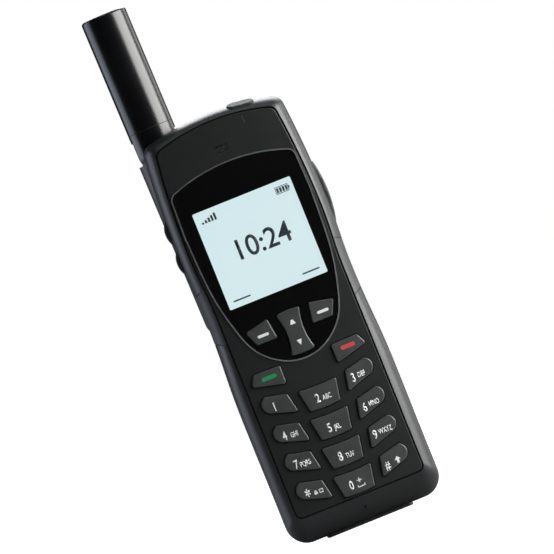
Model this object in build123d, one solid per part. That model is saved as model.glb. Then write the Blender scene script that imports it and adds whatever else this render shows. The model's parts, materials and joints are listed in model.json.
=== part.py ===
"""A handheld satellite phone, as its separate pieces, one STEP file for each.

Frame: +X to the user's right, +Z up the phone, and the keypad faces -Y. The origin is the centre of the flat
base that the phone stands on. Sizes are in millimetres. Y = 0 is a plane inside the body, which the other depths
count from.
"""

from build123d import *
import os
from math import cos, radians, sin

# ---------------------------------------------------------------- driving dimensions
body_length = 142.9  # base to the middle of the domed top, antenna left out
body_width = 53.0  # across the lower body
front_depth = 13.2  # middle of the face panel, in front of Y = 0
rear_depth = 13.0  # upper back, behind Y = 0
battery_rise = 3.0  # the battery pack stands this far out of the upper back
parting_y = -2.0  # the two shells meet here
wall = 1.8
base_gap = 0.8  # the shells end this far above the base

# the front view of the body
straight_top = 45.0  # the lower sides are straight up to here
waist_z = 80.0
waist_in = 1.1
chest_drop = 40.9  # widest place of the upper body, below the top
chest_in = 0.4
shoulder_in = 2.4
top_dome = 3.3  # rise of the domed top over the width
base_corner_r = 7.0
top_corner_r = 4.0
panel_corner_in = 4.5  # the face panel's base corners are this much tighter

# the sloping flank between the silhouette and the face panel
flank_low = 3.9
flank_waist = 2.9
flank_chest = 2.7
flank_tip = 3.0
flank_top = 2.5
flank_base = 8.2
flank_angle = 20.0  # where the rounded flank starts, in degrees
flank_y = -5.0  # the flank ends in the full width here
rim_step = 0.6  # the face panel stands this far out of the flank's rim
rear_round_y = 4.0
rear_round = 6.0

# face panel, lens and display
groove = 0.35
panel_t = 2.6
face_crown_r = 350.0
lens_margin = 2.1  # from the panel's edge to the lens, at the chest
lens_top_drop = 14.7  # from the panel's top to the lens
lens_bottom = 57.7
lens_t = 1.3
lens_proud = 0.1
ring_w = 0.45
ring_proud = 0.35
window_margin = 4.6
window_top_drop = 11.7
window_bottom_gap = 6.9  # above the soft keys
glass_t = 1.0
lcd_border = 1.3
lcd_t = 2.3
lcd_frame_t = 1.4
deck_t = 1.2  # the front shell's deck behind the panel

# keys
key_gap = 0.25  # between a key and its hole
key_travel = 0.5
key_proud = 0.8
key_edge_r = 0.45
flange_w = 0.55
flange_t = 0.6
flange_play = 0.15
nav_play = 0.35  # more play behind the rocking key, for its ends
row_pitch = 10.0
row_1_z = 44.3
centre_key_top = 6.65  # half widths of the middle column
centre_key_base = 5.25
centre_key_h = 7.6
column_gap = 3.35
outer_key_margin = 3.3  # from the panel's edge to the outer keys
outer_key_rise = 4.45  # its inner end, above and below the row
outer_key_fall = 2.35
outer_key_slant = 1.75  # its outer end is this much higher
outer_key_round = 1.9
call_key_x = 8.8
call_key_h = 6.4
soft_key_z = 66.8
soft_key_h = 6.95
lens_key_proud = 0.4
nav_half_h = 7.05
nav_gap = 0.35

# boards inside
mat_t = 0.6
mat_clear = 0.15
board_t = 1.0
board_edge = 1.6
shield_h = 2.4
shield_t = 0.2

# antenna
antenna_r = 7.75
antenna_x = 18.5  # axis, left of the middle, at the swivel
antenna_y = 5.5
antenna_lean = 0.9  # degrees, outwards
antenna_fit = 0.08  # radial clearance in the channel
channel_wall = 0.5
tube_end = 5.0  # the tube's rounded closed end, below the channel
tube_top = 3.2  # above the swivel pin
pivot_drop = 4.9  # swivel pin, below the body's top
collar_top = 7.5  # above the pin
radome_length = 40.2
radome_wall = 1.1
antenna_travel = 42.5
slider_length = 8.0
swivel_limit = 45.0
swivel_gap = 0.3
slider_gap = 0.3  # between the foot's round end and the slider
slider_groove = 1.4
slider_groove_depth = 0.8
tongue_w = 7.0
tongue_t = 5.0
tongue_gap = 0.15
pin_r = 1.5
pin_fit = 0.05

# power button
power_x = 11.0
power_y = -8.8
power_drop = 1.15
power_tilt = 20.0  # forwards, in degrees
power_lean = 7.0  # to the right, following the dome
power_w = 9.0
power_h = 4.4

# battery and back
bay_half = 23.0
bay_base = 6.5
bay_floor_y = 5.5
bay_floor_t = 1.8
battery_gap = 0.15
battery_edge_r = 3.6
label_w = 34.0  # a shallow recess in the battery's back
label_h = 30.0
label_depth = 0.3
thumb_groove = 1.5
thumb_groove_depth = 0.5
thumb_w = 24.0
latch_half = 7.0
latch_travel = 2.0
latch_fit = 0.3

# screws
screw_r = 0.8
screw_head_r = 1.9
screw_head_y = 2.6
screw_head_t = 1.4
boss_r = 2.2
pillar_r = 3.0

# small openings
screw_hole_y = -8.6
led_w = 1.0
led_h = 2.4
mic_r = 0.4
earpiece_w = 8.0
earpiece_h = 4.0
earpiece_slot = 0.55
grille_slot = 1.2
grille_pitch = 2.4
grille_w = 12.0
contact_r = 0.75
contact_pitch = 4.0
sim_w = 28.0
sim_z = 26.0
sim_h = 19.0

# ports
cover_low = 10.6  # side cover, below and above its middle
cover_high = 10.4
side_drop = 37.4  # middle of the side cover and volume keys, below the top
cover_front_y = -7.0
cover_rear_y = 2.6
cover_recess = 1.0
cover_rise = 1.2  # of the side cover and volume keys out of the flank, at their middles
jack_r = 1.27
jack_y = -3.9
jack_rise = 6.0  # above the middle of the side cover
data_low = 8.0  # the data socket's opening, below the middle of the side cover
data_high = 1.0
dc_r = 2.0
dc_y = 1.5
base_t = 4.1
base_half = 15.0
base_front_y = -6.5
base_rear_y = 9.5

# ---------------------------------------------------------------- worked-out places
half = body_width / 2
cover_peak = half - chest_in + cover_rise
rim_y = -(front_depth - rim_step)
panel_back_y = -front_depth + panel_t
deck_back_y = panel_back_y + deck_t
lens_back_y = -front_depth - lens_proud + lens_t
flange_front_y = deck_back_y + flange_play
flange_back_y = flange_front_y + flange_t
mat_front_y = flange_back_y + key_travel + mat_clear
board_front_y = mat_front_y + mat_t + 0.6
board_back_y = board_front_y + board_t
chest_z = body_length - chest_drop
side_z = body_length - side_drop
panel_top = body_length - flank_top
panel_half = half - chest_in - flank_chest
lens_half = panel_half - lens_margin + groove
lens_top = panel_top - lens_top_drop
window_half = lens_half - window_margin
window_top = lens_top - window_top_drop
window_bottom = soft_key_z + soft_key_h + window_bottom_gap
keypad_half = half - flank_low - outer_key_margin
pivot_z = body_length - pivot_drop
collar_base = pivot_z - antenna_r
channel_r = antenna_r + antenna_fit
tube_r = channel_r + channel_wall
channel_base = collar_base - slider_length - antenna_travel - 0.5
bay_top = channel_base - 3.0
battery_back_y = rear_depth + battery_rise
back_wall_y = rear_depth - wall
grip_top = side_z - cover_low - 4.4
grip_base = grip_top - 20.0
# what stands inside the upper flanks ends here
side_room_x = half - chest_in - wall - flank_chest * 0.2 - 0.4
screw_places = [
    (-18.5, 9.5),
    (18.5, 9.5),
    (-19.2, lens_bottom + 4.8),
    (19.2, lens_bottom + 4.8),
    (-7.5, body_length - 8.9),
    (17.0, body_length - 11.4),
]
lower_screws = screw_places[:4]
upper_screws = screw_places[4:]
speaker_x = 6.0
speaker_z = body_length - 29.0
speaker_r = 8.5
rf_x = 15.0
rf_z = body_length - 51.0
led_x = 10.3
led_z = panel_top - 3.9
earpiece_z = panel_top - 9.85
mic_z = 5.4

antenna_place = Pos(-antenna_x, antenna_y, pivot_z) * Rot(0, -antenna_lean, 0)


# ---------------------------------------------------------------- drawing helpers
def facing(y):
    """A drawing plane across the phone at depth y: its x is the phone's X, and its y is the phone's Z."""
    return Plane(origin=(0, y, 0), x_dir=(1, 0, 0), z_dir=(0, -1, 0))


def slab(outline, y_front, y_back):
    """A plate of one outline between two depths."""
    return extrude(facing(y_back) * outline, amount=y_back - y_front, dir=(0, -1, 0))


def block(x0, x1, y0, y1, z0, z1):
    """A box between two corners."""
    return Pos((x0 + x1) / 2, (y0 + y1) / 2, (z0 + z1) / 2) * Box(x1 - x0, y1 - y0, z1 - z0)


def rod(r, x, z, y_front, y_back):
    """A round bar along Y."""
    return slab(Pos(x, z) * Circle(r), y_front, y_back)


def crown(y_front):
    """Everything behind a face that is domed from side to side, and reaches y_front in the middle."""
    return Pos(0, y_front + face_crown_r, body_length / 2) * Cylinder(face_crown_r, 2 * body_length)


def crowned(outline, y_front, y_back):
    """A plate with a face domed like the phone's."""
    return slab(outline, y_front - 1, y_back) & crown(y_front)


def closed(edges, corner_r=0.0):
    """A face inside a run of edges, with its corners rounded."""
    face = make_face(Wire(edges))
    return fillet(face.vertices(), corner_r) if corner_r else face


def arcs_through(points, tangent):
    """Arcs from point to point, each running on smoothly from the last."""
    edges = []
    for start, end in zip(points, points[1:]):
        edges.append(TangentArc(start, end, tangent=tangent))
        tangent = edges[-1] % 1
    return edges


def mirrored(shape):
    """The same piece on the phone's other side."""
    return shape.mirror(Plane.YZ)


def front_edges(solid):
    """The edges round a solid's front face."""
    return solid.faces().sort_by(Axis.Y)[0].edges()


# ---------------------------------------------------------------- outlines
def body_outline(slope=0.0, inset=0.0):
    """The body from the front: slope 0 is the silhouette, 1 the face panel's edge, and inset moves it all in."""
    low = half - flank_low * slope - inset
    waist = half - waist_in - flank_waist * slope - inset
    chest = half - chest_in - flank_chest * slope - inset
    tip = half - shoulder_in - flank_tip * slope - inset
    base = base_gap + flank_base * slope + inset
    top = body_length - flank_top * slope - inset
    corner_z = top - top_dome
    side = [
        (low, straight_top),
        ((low + waist) / 2, (straight_top + waist_z) / 2),
        (waist, waist_z),
        ((waist + chest) / 2, (waist_z + chest_z) / 2),
        (chest, chest_z),
        (tip, corner_z),
    ]
    right = [Line((low, base), side[0])] + arcs_through(side, (0, 1))
    left = [edge.mirror(Plane.YZ) for edge in right]
    dome = ThreePointArc((tip, corner_z), (0, top), (-tip, corner_z))
    floor = Line((-low, base), (low, base))
    face = make_face(Wire(right + [dome] + left + [floor]))
    base_r = max(base_corner_r - panel_corner_in * slope - inset, 1.0)
    top_r = max(top_corner_r - slope - inset, 1.0)
    low_corners = [v for v in face.vertices() if abs(v.Y - base) < 0.01]
    face = fillet(low_corners, base_r)
    high_corners = [v for v in face.vertices() if abs(v.Y - corner_z) < 0.01]
    return fillet(high_corners, top_r)


def lens_outline(grow=0.0):
    """The display lens: a domed top, nearly straight sides, and a bowl that runs down between the keys."""
    # across, up, and which way the edge runs there in degrees
    shape = [
        (0, lens_bottom, 0),
        (0.37 * lens_half, lens_bottom + 2.2, 31),
        (0.67 * lens_half, lens_bottom + 8.3, 58),
        (0.83 * lens_half, lens_bottom + 17.3, 75),
        (0.96 * lens_half, lens_bottom + 32.3, 83.5),
        (lens_half, lens_bottom + 49.3, 90),
        (0.985 * lens_half, lens_top - 5.9, 91.7),
    ]
    points = [(x + grow * sin(radians(run)), z - grow * cos(radians(run))) for x, z, run in shape]
    start = (cos(radians(shape[-1][2])), sin(radians(shape[-1][2])))
    corner = (0.985 * lens_half - 1.7 + 0.4 * grow, lens_top - 3.5 + 0.9 * grow)
    right = Spline(points, tangents=[(1, 0), start])
    bend = TangentArc(points[-1], corner, tangent=start)
    dome = ThreePointArc(corner, (0, lens_top + grow), (-corner[0], corner[1]))
    left = [edge.mirror(Plane.YZ) for edge in (right, bend)]
    return make_face(Wire([right, bend, dome] + left))


def window_outline(grow=0.0):
    """The display's window."""
    width = 2 * (window_half + grow)
    height = window_top - window_bottom + 2 * grow
    return Pos(0, (window_top + window_bottom) / 2) * RectangleRounded(width, height, 0.5 + max(grow, 0))


def centre_key_outline(z):
    """A key of the middle column: wider at its top, which is hollow, and with a full lower edge."""
    top = z + centre_key_h / 2
    base = z - centre_key_h / 2
    wide = centre_key_top
    narrow = centre_key_base
    edges = [
        ThreePointArc((-wide, top), (0, top - 0.4), (wide, top)),
        Line((wide, top), (narrow, base)),
        ThreePointArc((narrow, base), (0, base - 0.3), (-narrow, base)),
        Line((-narrow, base), (-wide, top)),
    ]
    return closed(edges, 0.6)


def outer_key_outline(z):
    """A key of the right column: its outer end is higher, and round."""
    inner_top = (centre_key_top + column_gap, z + outer_key_rise)
    inner_base = (centre_key_base + column_gap, z - outer_key_fall)
    end_top = (keypad_half - outer_key_round, z + outer_key_rise + outer_key_slant)
    end_base = (keypad_half - outer_key_round - 0.3, z - outer_key_fall + outer_key_slant + 0.95)
    edges = [
        Line(inner_base, inner_top),
        Line(inner_top, end_top),
        ThreePointArc(end_top, (keypad_half, (end_top[1] + end_base[1]) / 2 - 0.17), end_base),
        Line(end_base, inner_base),
    ]
    return closed(edges, 0.6)


def call_key_outline():
    """The call key on the right, below the lens's bowl."""
    corners = [
        (call_key_x, lens_bottom + 0.5),
        (keypad_half - 1.2, lens_bottom + 0.7),
        (keypad_half + 0.7, lens_bottom - 3.0),
        (call_key_x + 0.1, lens_bottom + 0.5 - call_key_h),
    ]
    return fillet(make_face(Polyline(*corners, close=True)).vertices(), 0.8)


def soft_key_outline():
    """The soft key on the right, under the window."""
    top = soft_key_z + soft_key_h
    corners = [(6.1, soft_key_z), (7.1, top), (15.4, top - 1.8), (13.2, soft_key_z)]
    return fillet(make_face(Polyline(*corners, close=True)).vertices(), 0.6)


def nav_key_outline():
    """The up and down key: narrow in the middle."""
    z = soft_key_z - 0.2
    top = z + nav_half_h
    base = z - nav_half_h
    edges = [
        ThreePointArc((-4.2, top), (0, top + 0.35), (4.2, top)),
        ThreePointArc((4.2, top), (3.0, z), (4.2, base)),
        ThreePointArc((4.2, base), (0, base - 0.35), (-4.2, base)),
        ThreePointArc((-4.2, base), (-3.0, z), (-4.2, top)),
    ]
    return closed(edges, 0.7)


# ---------------------------------------------------------------- keys
def key_solid(outline, proud, play=flange_play):
    """A key cap: its face stands out of the panel, and a flange behind the deck keeps it in."""
    y_front = -front_depth - proud
    cap = crowned(outline, y_front, flange_back_y)
    cap = fillet(front_edges(cap), key_edge_r)
    return cap + slab(offset(outline, flange_w, kind=Kind.ARC), deck_back_y + play, flange_back_y)


def face_keys():
    """Every key on the face: its node name, its outline seen from the front, and how far it stands out."""
    keys = {}
    for row, names in enumerate(["123", "456", "789", "s0h"]):
        z = row_1_z - row * row_pitch
        right = outer_key_outline(z)
        outlines = [mirrored(right), centre_key_outline(z), right]
        for name, outline in zip(names, outlines):
            word = {"s": "star", "h": "hash"}.get(name, name)
            keys[f"key_{word}"] = (outline, key_proud)
    keys["send_key"] = (mirrored(call_key_outline()), key_proud)
    keys["end_key"] = (call_key_outline(), key_proud)
    keys["soft_key_left"] = (mirrored(soft_key_outline()), lens_key_proud)
    keys["soft_key_right"] = (soft_key_outline(), lens_key_proud)
    keys["nav_key"] = (nav_key_outline(), lens_key_proud)
    return keys


def key_holes(keys, y_front, y_back):
    """The holes that the keys stand in."""
    holes = []
    for name, (outline, _) in keys.items():
        gap = nav_gap if name == "nav_key" else key_gap
        holes.append(slab(offset(outline, gap, kind=Kind.ARC), y_front, y_back))
    return holes


def flange_rooms(keys):
    """Room for the keys' flanges and their travel, behind the deck."""
    y_back = flange_back_y + key_travel + 0.1
    rooms = [offset(outline, flange_w + key_gap, kind=Kind.ARC) for outline, _ in keys.values()]
    return [slab(room, deck_back_y, y_back) for room in rooms]


# ---------------------------------------------------------------- shells
def front_form():
    """The front shell's outer form: sloping, rounded flanks up to the face."""
    sections = []
    start = radians(flank_angle)
    for angle in (flank_angle, 43.0, 66.0, 90.0):
        turn = radians(angle)
        slope = (1 - sin(turn)) / (1 - sin(start))
        y = flank_y + (rim_y - flank_y) * cos(turn) / cos(start)
        sections.append(facing(y) * body_outline(slope))
    return loft(sections) + slab(body_outline(), flank_y, parting_y)


def rear_form():
    """The rear shell's outer form, with the tube that the antenna slides in."""
    sections = []
    start = radians(15.0)
    for angle in (90.0, 65.0, 40.0, 15.0):
        turn = radians(angle)
        inset = rear_round * (1 - sin(turn)) / (1 - sin(start))
        y = rear_round_y + (rear_depth - rear_round_y) * cos(turn) / cos(start)
        sections.append(facing(y) * body_outline(0, inset))
    body = slab(body_outline(), parting_y, rear_round_y) + loft(sections)
    tube = upright(tube_r, channel_base - tube_end - pivot_z, tube_top)
    tube = antenna_place * fillet(tube.edges().group_by(Axis.Z)[0], tube_end)
    return body + (tube - block(-body_width, body_width, -60, parting_y, 0, body_length))


def side_region(clear=0.0):
    """The stretch of the right flank that the side grip covers, between slanting seams."""
    inner = half - flank_low - 0.2
    corners = [
        (inner, grip_base - clear),
        (half + 2, grip_base + 3.6 - clear),
        (half + 2, grip_top - 3.4 + clear),
        (inner, grip_top + clear),
    ]
    return slab(make_face(Polyline(*corners, close=True)), rim_y, 6.0 + clear)


def side_grip(form, clear=0.0):
    """A grip inset on the right flank: the form's own skin, a little over a millimetre thick."""
    return (form & side_region(clear)) - Pos(-1.2, 0, 0) * form


def cover_recess_box():
    """The recess in the right flank for the port cover."""
    x0 = half - chest_in - cover_recess
    return block(x0, half + 3, cover_front_y, cover_rear_y, side_z - cover_low, side_z + cover_high)


def volume_places():
    """Middles of the two volume keys along Z."""
    return {"volume_up_key": side_z + 5.6, "volume_down_key": side_z - 4.6}


def screw_pillars(places, r, y_front, y_back):
    """Round pillars at the screws."""
    return [rod(r, x, z, y_front, y_back) for x, z in places]


def port_openings():
    """The openings in the flank for the data socket and the headset jack."""
    x0 = half - chest_in - wall - 3
    data = block(x0, half + 3, jack_y - 1.55, jack_y + 1.6, side_z - data_low, side_z - data_high)
    jack = Cylinder(jack_r + 0.33, half + 3 - x0)
    return [data, Pos((x0 + half + 3) / 2, jack_y, side_z + jack_rise) * Rot(0, 90, 0) * jack]


def gasket():
    """A rubber cord in the joint between the shells."""
    ring = body_outline(0, 1.6) - body_outline(0, 2.1)
    solid = slab(ring, parting_y - 0.5, parting_y)
    keep_out = [antenna_place * Cylinder(tube_r, 60)] + port_openings() + [base_pocket()]
    return solid - keep_out


def base_pocket():
    """The pocket in the bottom end for the base block."""
    return block(-base_half, base_half, base_front_y, base_rear_y, 0, base_t + 0.1)


def front_housing(form, keys, seal):
    """The front shell."""
    shell = form
    recess = slab(body_outline(1, 0.2), rim_y - 2, panel_back_y)
    seat = slab(lens_outline(ring_w), lens_back_y, panel_back_y)
    shell = shell - recess + seat
    rooms = [
        slab(body_outline(1, 1.2), deck_back_y, parting_y),
        slab(body_outline(0.2, wall), deck_back_y + 1.1, parting_y),
        slab(window_outline(lcd_border + 0.2), lens_back_y - 1, deck_back_y + 0.1),
        slab(window_outline(lcd_border + 1.0), lens_back_y + lcd_t - 0.05, deck_back_y + 0.1),
    ]
    shell = shell - rooms
    shell = shell + screw_pillars(screw_places, boss_r, deck_back_y, parting_y)
    shell = shell - key_holes(keys, -front_depth - 3, deck_back_y + 0.1)
    shell = shell - flange_rooms(keys) - antenna_channel()
    shell = shell - [rod(screw_r, x, z, screw_hole_y, parting_y) for x, z in screw_places]
    earpiece = RectangleRounded(earpiece_w, earpiece_h, 1)
    slots = slab(Pos(0, earpiece_z) * earpiece, panel_back_y - 1, deck_back_y + 0.1)
    led = slab(Pos(led_x, led_z) * Rectangle(led_w, led_h), panel_back_y - 1, deck_back_y + 0.1)
    mic = rod(mic_r, 0, mic_z, rim_y, -3.0)
    mic_room = block(-3, 3, -7.0, parting_y, mic_z - 1.2, 12)
    shell = shell - [slots, led, mic, mic_room, seal, base_pocket(), cover_recess_box()]
    shell = shell - port_openings()
    return shell - power_hole() - [volume_hole(z) for z in volume_places().values()]


def bay_outline(clear=0.0):
    """The battery bay from the front."""
    height = bay_top - bay_base - 2 * clear
    return Pos(0, (bay_top + bay_base) / 2) * RectangleRounded(2 * (bay_half - clear), height, 4.0)


def upright(r, z0, z1):
    """A round bar up the antenna's own axis, its ends counted from the swivel pin."""
    return Pos(0, 0, z0) * Cylinder(r, z1 - z0, align=(Align.CENTER, Align.CENTER, Align.MIN))


def tube_core(r):
    """Everything within r of the antenna's axis, from the tube's closed end up."""
    return antenna_place * upright(r, channel_base - tube_end - pivot_z, body_length)


def antenna_channel():
    """The bore that the antenna slides in, and the fan that it swivels through."""
    turn = antenna_r + swivel_gap
    room = upright(channel_r, channel_base - pivot_z, 60) + Pos(-15, 0, 15) * Box(30, 2 * turn, 30)
    for angle in (15, 30, swivel_limit):
        room = room + Rot(0, -angle, 0) * upright(turn, 0, 60)
    return antenna_place * room


def swivel_opening():
    """The open side of the antenna's tube, for the swivel."""
    return antenna_place * Pos(-7 - 15, 0, -3 + 15) * Box(30, 2 * tube_r + 4, 30)


def rear_housing(form):
    """The rear shell, with the antenna's channel, the battery bay and the speaker grille."""
    keep = tube_core(tube_r)
    split_z = bay_top + 1.5
    room = slab(body_outline(0, wall), parting_y, bay_floor_y - bay_floor_t)
    above_bay = block(-body_width, body_width, -60, 60, split_z, 2 * body_length)
    upper = slab(body_outline(0, rear_round), parting_y, back_wall_y) & above_bay
    shell = form - ((room + upper) - keep)
    shell = shell + screw_pillars(lower_screws, pillar_r, parting_y, bay_floor_y - 0.5)
    shell = shell + screw_pillars(upper_screws, pillar_r, parting_y, back_wall_y + 0.5)
    shell = shell - slab(bay_outline(), bay_floor_y, 40)
    shell = shell - antenna_channel() - swivel_opening()
    for x, z in screw_places:
        shell = shell - rod(screw_r + 0.1, x, z, parting_y - 1, screw_head_y)
        shell = shell - rod(screw_head_r + 0.1, x, z, screw_head_y, 40)
    slots = []
    for n in range(-2, 3):
        slot = SlotOverall(grille_w - 1.5 * abs(n), grille_slot)
        slots.append(slab(Pos(speaker_x, speaker_z + grille_pitch * n) * slot, back_wall_y - 1, 40))
    shell = shell - slots - base_pocket() - cover_recess_box()
    shell = shell - [latch_room(), rf_recess(), rod(2.6, rf_x, rf_z, 0, 40), sim_pocket()]
    shell = shell - [rod(contact_r + 0.05, x, contact_z(), 0, 10) for x in contact_xs()]
    return shell


# ---------------------------------------------------------------- face
def face_panel(keys):
    """The panel between the flanks, which frames the lens and the keys."""
    panel = crowned(body_outline(1, 0.2 + groove), -front_depth, panel_back_y)
    panel = fillet(front_edges(panel), 0.35)
    panel = panel - slab(lens_outline(ring_w), -30, 0) - key_holes(keys, -30, 0)
    slots = [
        slab(Pos(x, earpiece_z + dz) * SlotOverall(2 * earpiece_slot + 0.05, earpiece_slot), -30, 0)
        for x in (-1.6, 0, 1.6)
        for dz in (-0.85, 0.85)
    ]
    led = slab(Pos(led_x, led_z) * Rectangle(led_w, led_h), -30, 0)
    return panel - slots - led


def lens_ring():
    """The bright rim round the lens."""
    plate = crowned(lens_outline(ring_w), -front_depth - ring_proud, lens_back_y)
    return plate - slab(lens_outline(), -30, 0)


def display_lens(keys):
    """The black moulded lens plate, with the window and three key holes in it."""
    plate = crowned(lens_outline(), -front_depth - lens_proud, lens_back_y)
    return plate - slab(window_outline(), -30, 0) - key_holes(keys, -30, 0)


def display_window():
    """The clear pane in the lens."""
    y_front = -front_depth - lens_proud + 0.05
    return crowned(window_outline(-0.02), y_front, y_front + glass_t)


def lcd_panel():
    """The display's own glass."""
    return slab(window_outline(lcd_border), lens_back_y + 0.02, lens_back_y + lcd_t)


def lcd_frame():
    """The display's metal frame and backlight."""
    y_front = lens_back_y + lcd_t
    tray = slab(window_outline(lcd_border + 0.8), y_front, y_front + lcd_frame_t)
    return tray - slab(window_outline(lcd_border - 1.5), y_front + 0.8, y_front + lcd_frame_t)


def earpiece_mesh():
    """A dust mesh behind the earpiece slots."""
    mesh = RectangleRounded(earpiece_w - 0.4, earpiece_h - 0.4, 0.8)
    return slab(Pos(0, earpiece_z) * mesh, panel_back_y, panel_back_y + 0.3)


def earpiece_speaker():
    """The receiver that the earpiece slots open on to."""
    case = Pos(0, earpiece_z) * RectangleRounded(earpiece_w + 1.6, earpiece_h + 1.0, 1.2)
    cone = Pos(0, earpiece_z) * RectangleRounded(earpiece_w - 1.6, earpiece_h - 1.4, 0.6)
    return slab(case, deck_back_y, deck_back_y + 2.0) - slab(cone, deck_back_y - 1, deck_back_y + 0.5)


def light_pipe():
    """The clear bar that carries the status light to the face."""
    bar = Pos(led_x, led_z) * Rectangle(led_w - 0.04, led_h - 0.04)
    return crowned(bar, -front_depth + 0.7, deck_back_y + 0.6)


# ---------------------------------------------------------------- inside
def keypad_outline():
    """The keypad area behind the deck."""
    low = 10.0
    high = soft_key_z + soft_key_h + 1.0
    return body_outline(1, 1.5) & (Pos(0, (low + high) / 2) * Rectangle(2 * body_width, high - low))


def keypad_mat(keys):
    """The rubber mat behind the keys, with a plunger for each."""
    mat = slab(keypad_outline(), mat_front_y, mat_front_y + mat_t)
    plungers = []
    for outline, _ in keys.values():
        at = outline.center(CenterOf.BOUNDING_BOX)
        plungers.append(rod(1.2, at.X, at.Y, mat_front_y, mat_front_y + mat_t + 0.25))
    mat = mat + plungers
    return mat - screw_pillars(screw_places, boss_r + 0.2, -30, 0)


def key_domes(keys):
    """The snap domes on the board, one under each key."""
    domes = []
    for outline, _ in keys.values():
        at = outline.center(CenterOf.BOUNDING_BOX)
        domes.append(rod(2.0, at.X, at.Y, board_front_y - 0.25, board_front_y))
    return Compound(domes)


def main_board():
    """The circuit board, notched for the screw bosses."""
    board = slab(body_outline(1, board_edge), board_front_y, board_back_y)
    board = board - screw_pillars(screw_places, boss_r + 0.25, -30, 0)
    return board - block(-4, 4, -30, 30, 0, 13)


def shield_can(x0, x1, z0, z1):
    """A thin metal can over the radio's chips, open towards the board."""
    outer = block(x0, x1, board_back_y, board_back_y + shield_h, z0, z1)
    inner = block(x0 + shield_t, x1 - shield_t, board_back_y, board_back_y + shield_h - shield_t,
                  z0 + shield_t, z1 - shield_t)
    return outer - inner


def rf_shields():
    """Three shield cans on the back of the board."""
    middle = lens_bottom + 15
    return Compound([
        shield_can(-14, 14, 20, lens_bottom - 4),
        shield_can(-17, 13, middle, side_z - 10),
        shield_can(-17, 13, side_z - 8, side_z + 16),
    ])


def microphone():
    """The microphone in its rubber boot, behind its hole."""
    boot = block(-2.8, 2.8, board_front_y, parting_y - 0.6, mic_z - 1.1, mic_z + 2.0)
    return boot - rod(mic_r, 0, mic_z, board_front_y - 1, -5.0)


def side_switches():
    """The switches behind the two volume keys."""
    x0 = -side_room_x + 1.5
    return Compound([
        block(x0, x0 + 1.8, board_back_y, board_back_y + 2.4, z - 2, z + 2) for z in volume_places().values()
    ])


def usb_socket():
    """The data socket: a metal shell with a tongue in it."""
    x1 = side_room_x
    z0 = side_z - data_low - 0.4
    z1 = side_z - data_high + 0.4
    shell = block(x1 - 7, x1, board_back_y, board_back_y + 3.9, z0, z1)
    shell = shell - block(x1 - 6, x1 + 1, board_back_y + 0.4, board_back_y + 3.5, z0 + 0.4, z1 - 0.4)
    return shell + block(x1 - 6.5, x1 - 1, board_back_y + 1.6, board_back_y + 2.3, z0 + 1.6, z1 - 1.6)


def headset_jack():
    """The headset jack, a block with a round bore."""
    x1 = side_room_x
    z = side_z + jack_rise
    body = block(x1 - 10, x1, board_back_y, board_back_y + 3.8, z - 2.4, z + 2.4)
    return body - Pos(x1 - 4, jack_y, z) * Rot(0, 90, 0) * Cylinder(jack_r, 8)


def rear_speaker():
    """The loudspeaker behind the grille, a drum with a cone in front."""
    drum = rod(speaker_r, speaker_x, speaker_z, back_wall_y - 4.5, back_wall_y - 0.1)
    return drum - rod(speaker_r - 1.2, speaker_x, speaker_z, back_wall_y - 1.0, back_wall_y)


def contact_xs():
    """Where the battery contacts stand across the phone."""
    return [contact_pitch * (n - 1.5) for n in range(4)]


def contact_z():
    """How high the battery contacts stand."""
    return bay_top - 9.0


def battery_contacts():
    """Four spring pins from the board to the battery."""
    pins = []
    for x in contact_xs():
        y0 = board_back_y + shield_h + 0.3
        barrel = rod(contact_r, x, contact_z(), y0, bay_floor_y - 0.3)
        pins.append(barrel + rod(contact_r - 0.3, x, contact_z(), y0, bay_floor_y + battery_gap))
    return Compound(pins)


def sim_pocket():
    """The pocket in the bay's floor for the SIM holder."""
    return block(-sim_w / 2, sim_w / 2, bay_floor_y - 1.0, bay_floor_y + 1, sim_z, sim_z + sim_h)


def sim_holder():
    """The holder for the SIM card: a hinged frame with the card's window in it."""
    x = sim_w / 2 - 0.2
    frame = block(-x, x, bay_floor_y - 1.0, bay_floor_y - 0.1, sim_z + 0.2, sim_z + sim_h - 0.2)
    return frame - block(5 - x, x - 5, bay_floor_y - 0.5, bay_floor_y, sim_z + 4, sim_z + sim_h - 3)


def rf_connector():
    """The socket for an outside antenna, behind its cover."""
    body = rod(2.4, rf_x, rf_z, 2.0, back_wall_y)
    return body - rod(1.6, rf_x, rf_z, 5.0, back_wall_y + 1) + rod(0.4, rf_x, rf_z, 4.0, back_wall_y - 1)


def screw(x, z):
    """A pan head screw with a cross slot."""
    head = rod(screw_head_r, x, z, screw_head_y, screw_head_y + screw_head_t)
    head = fillet(head.edges().sort_by(Axis.Y)[-1], 0.5)
    cross = [
        block(x - 1.1, x + 1.1, screw_head_y + 0.6, screw_head_y + 2, z - 0.22, z + 0.22),
        block(x - 0.22, x + 0.22, screw_head_y + 0.6, screw_head_y + 2, z - 1.1, z + 1.1),
    ]
    return head + rod(screw_r, x, z, -8.0, screw_head_y) - cross


def housing_screws():
    """The six screws that hold the shells together."""
    return Compound([screw(x, z) for x, z in screw_places])


# ---------------------------------------------------------------- sides, top and base
def side_bump(z, low, high, y0, y1, x_edge, x_peak, x_back):
    """A cushion-shaped piece on the right flank, seen from the front as a shallow arc."""
    base = (x_edge, z - low)
    top = (x_edge, z + high)
    edges = [
        ThreePointArc(base, (x_peak, z), top),
        Line(top, (x_back, z + high)),
        Line((x_back, z + high), (x_back, z - low)),
        Line((x_back, z - low), base),
    ]
    solid = slab(make_face(Wire(edges)), y0, y1)
    outer = solid.edges().filter_by(GeomType.CIRCLE)
    return fillet(outer, 0.6)


def volume_hole(z):
    """The hole in the left flank for a volume key."""
    return block(-half - 3, -half + 4, -7.15, -2.85, z - 4.55, z + 4.55)


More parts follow.
